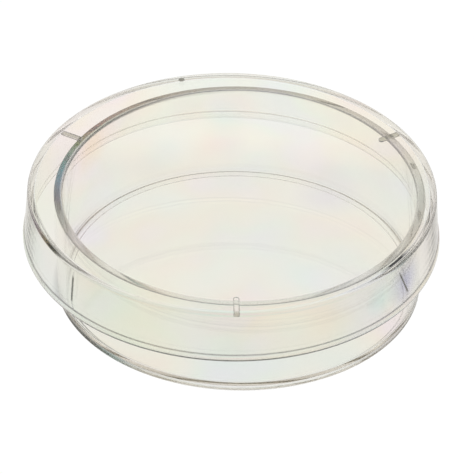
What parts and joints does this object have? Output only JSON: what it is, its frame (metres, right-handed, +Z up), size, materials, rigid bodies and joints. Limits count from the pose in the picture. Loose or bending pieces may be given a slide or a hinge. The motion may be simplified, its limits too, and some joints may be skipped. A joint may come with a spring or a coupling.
{
  "type": "petri dish",
  "caption": "Shallow clear round culture dish with a loose overlapping lid that rests on small vent ribs and lifts straight off.",
  "frame": {"origin": "on the lid's axis, at the height of the surface the dish stands on; the dish's own axis is 1.08 mm towards +X and 0.50 mm towards +Y of it, because the loose lid has been pushed to one side", "axes": "+Z up along the axis of the turned pieces, -Y towards the viewer's side, +X to the viewer's right"},
  "size_m": [0.06, 0.06, 0.0167],
  "materials": {
    "base_polystyrene": "clear polished polystyrene",
    "lid_polystyrene": "clear polished polystyrene"
  },
  "bodies": {
    "dish": {"dish_base": "base_polystyrene"},
    "lid": {"lid": "lid_polystyrene"}
  },
  "joints": [
    {"name": "lid_lift", "type": "slide", "parent": "dish", "child": "lid", "axis": [0, 0, 1], "range_m": [0, 0.03]}
  ]
}
